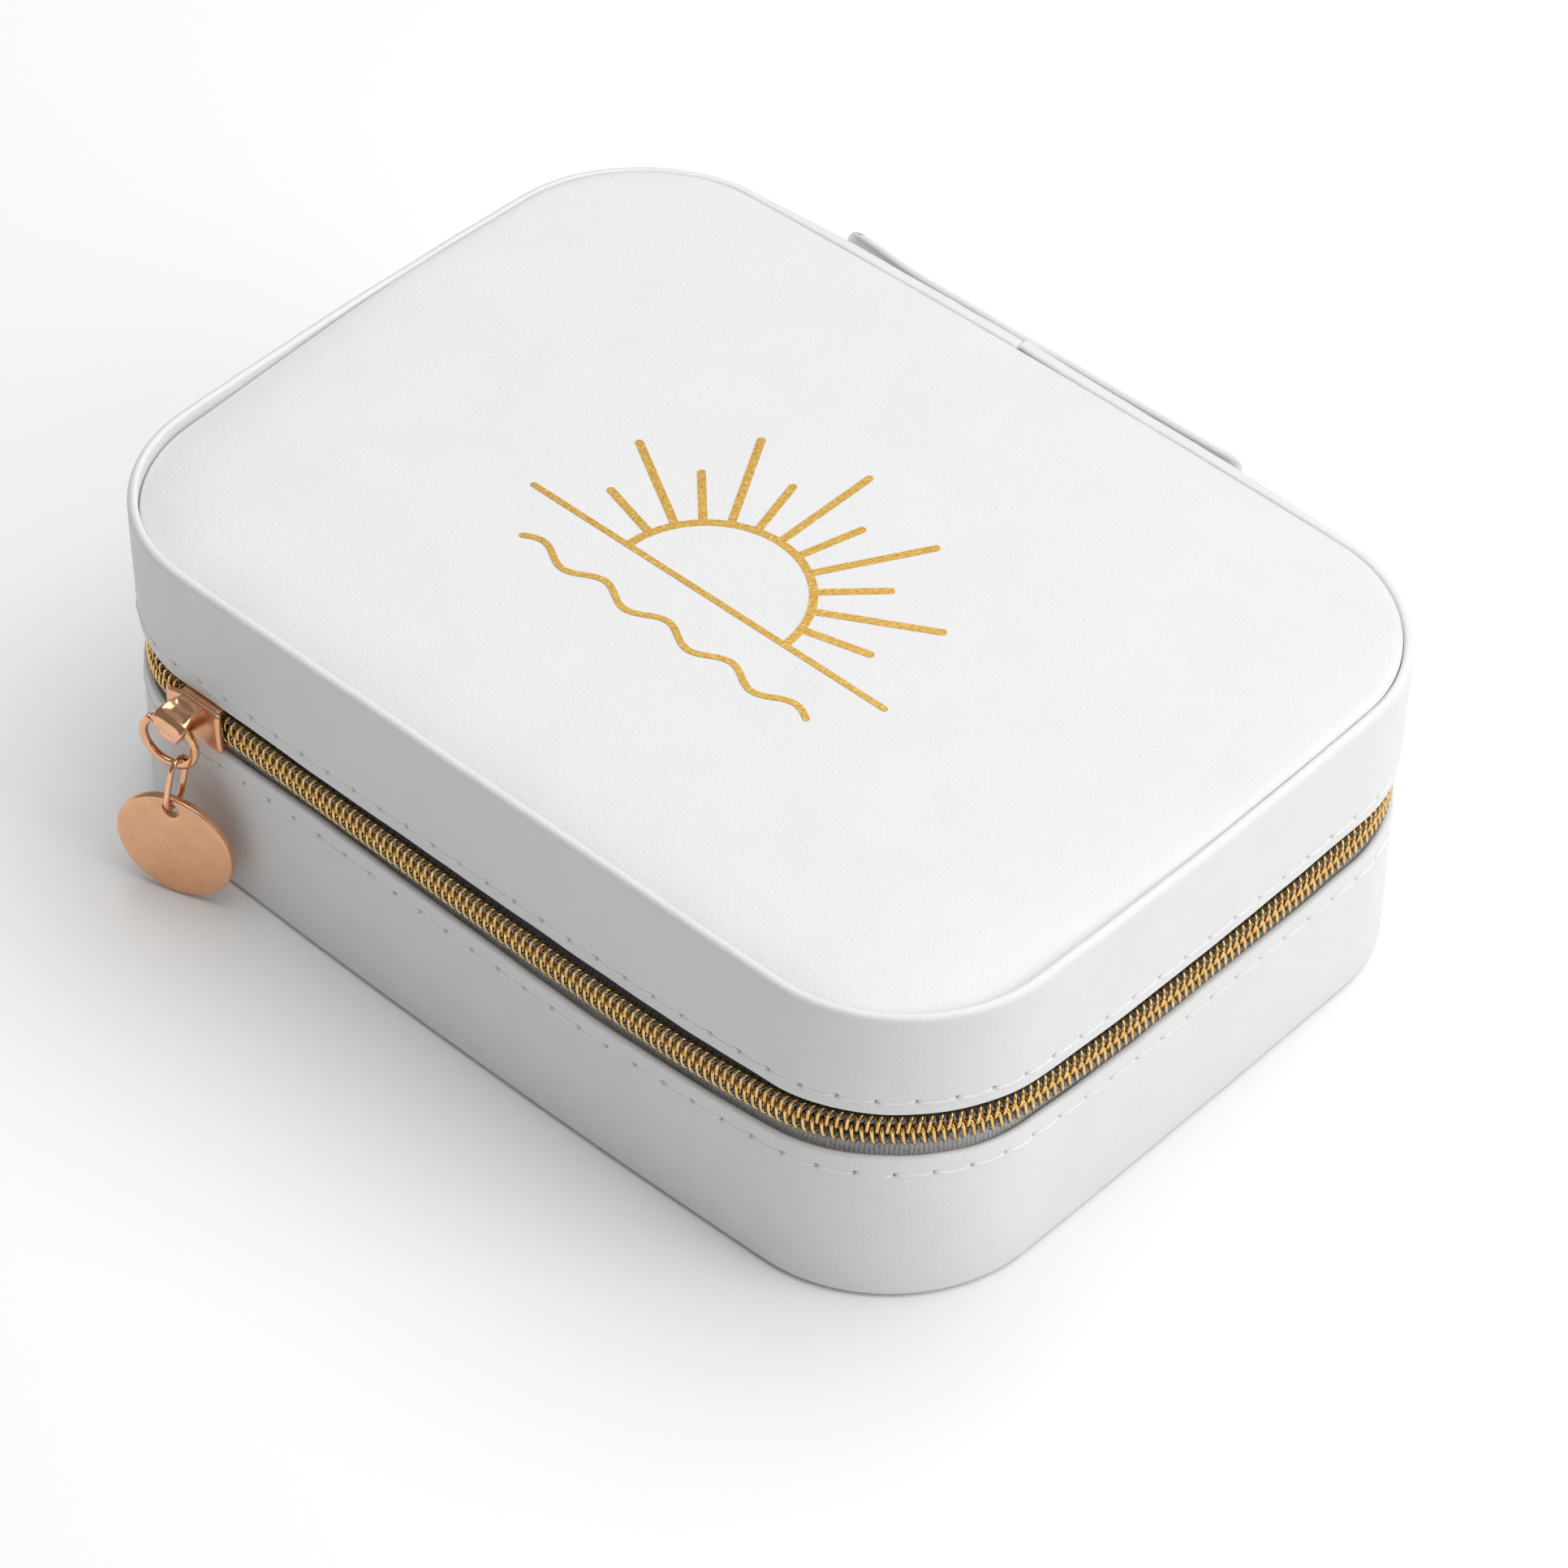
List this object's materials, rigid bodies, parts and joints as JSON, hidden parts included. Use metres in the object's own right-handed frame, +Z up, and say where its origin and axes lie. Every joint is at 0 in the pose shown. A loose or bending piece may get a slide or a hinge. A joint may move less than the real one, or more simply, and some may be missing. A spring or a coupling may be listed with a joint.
{
  "type": "jewelry box",
  "caption": "Zip-round travel jewelry case with rounded corners, a padded hinged lid, ring rolls and dividers inside, and a zipper pull with a disc charm.",
  "frame": {"origin": "centre of the underside of the base, on the surface the case stands on", "axes": "+X along the front long side to the right, +Y from the front towards the hinge at the back, +Z up"},
  "size_m": [0.168, 0.1344, 0.056],
  "materials": {
    "white_leather": "satin fine-grained imitation leather",
    "grey_velvet": "short-pile velvet",
    "grey_board": "raw greyboard",
    "grey_tape": "ribbed woven tape",
    "gold_coil": "metallised gold",
    "foam": "open foam",
    "gold_foil": "hot-stamped foil",
    "elastic": "ribbed elastic",
    "rose_gold": "polished rose-gold plate"
  },
  "bodies": {
    "base": {"base_wrap": "white_leather", "base_wall_board": "grey_board", "base_floor_board": "grey_board", "base_bottom_cover": "white_leather", "base_lining_wall": "grey_velvet", "base_lining_floor": "grey_velvet", "ring_tray": "grey_velvet", "ring_roll_1": "grey_velvet", "ring_roll_2": "grey_velvet", "ring_roll_3": "grey_velvet", "ring_roll_4": "grey_velvet", "ring_roll_5": "grey_velvet", "ring_roll_6": "grey_velvet", "divider_long": "grey_velvet", "divider_cross_1": "grey_velvet", "divider_cross_2": "grey_velvet", "zipper_tape_lower": "grey_tape", "zipper_coil_lower": "gold_coil", "zipper_stops_lower": "gold_coil", "hinge_patch_lower": "white_leather", "hinge_lining_lower": "grey_velvet"},
    "lid": {"lid_wrap": "white_leather", "lid_wall_board": "grey_board", "lid_top_board": "grey_board", "lid_foam_pad": "foam", "lid_top_cover": "white_leather", "sun_foil": "gold_foil", "lid_lining_wall": "grey_velvet", "lid_lining_top": "grey_velvet", "hook_strip": "white_leather", "necklace_hooks": "rose_gold", "elastic_pocket": "grey_velvet", "pocket_band": "elastic", "zipper_tape_upper": "grey_tape", "zipper_coil_upper": "gold_coil", "zipper_stops_upper": "gold_coil", "hinge_patch_upper": "white_leather", "hinge_lining_upper": "grey_velvet"},
    "slider": {"slider_body": "rose_gold", "slider_bail": "rose_gold"},
    "pull_ring": {"pull_ring": "rose_gold"},
    "pull_link": {"pull_link": "rose_gold"},
    "charm": {"charm_disc": "rose_gold"}
  },
  "joints": [
    {"name": "lid_hinge", "type": "hinge", "parent": "base", "child": "lid", "pos_m": [0, 0.062, 0.0305], "axis": [-1, 0, 0], "range_deg": [0, 110]},
    {"name": "zipper_slide", "type": "slide", "parent": "base", "child": "slider", "axis": [1, 0, 0], "range_m": [0, 0.104]},
    {"name": "ring_swing", "type": "hinge", "parent": "slider", "child": "pull_ring", "pos_m": [-0.056, -0.0646, 0.03193], "axis": [-1, 0, 0], "range_deg": [0, 50]},
    {"name": "link_swing", "type": "hinge", "parent": "pull_ring", "child": "pull_link", "pos_m": [-0.0539, -0.0646, 0.02416], "axis": [-1, 0, 0], "range_deg": [-4, 25]},
    {"name": "charm_swing", "type": "hinge", "parent": "pull_link", "child": "charm", "pos_m": [-0.0539, -0.0669, 0.0176], "axis": [0.3256, -0.9455, 0], "range_deg": [-40, 40]}
  ]
}
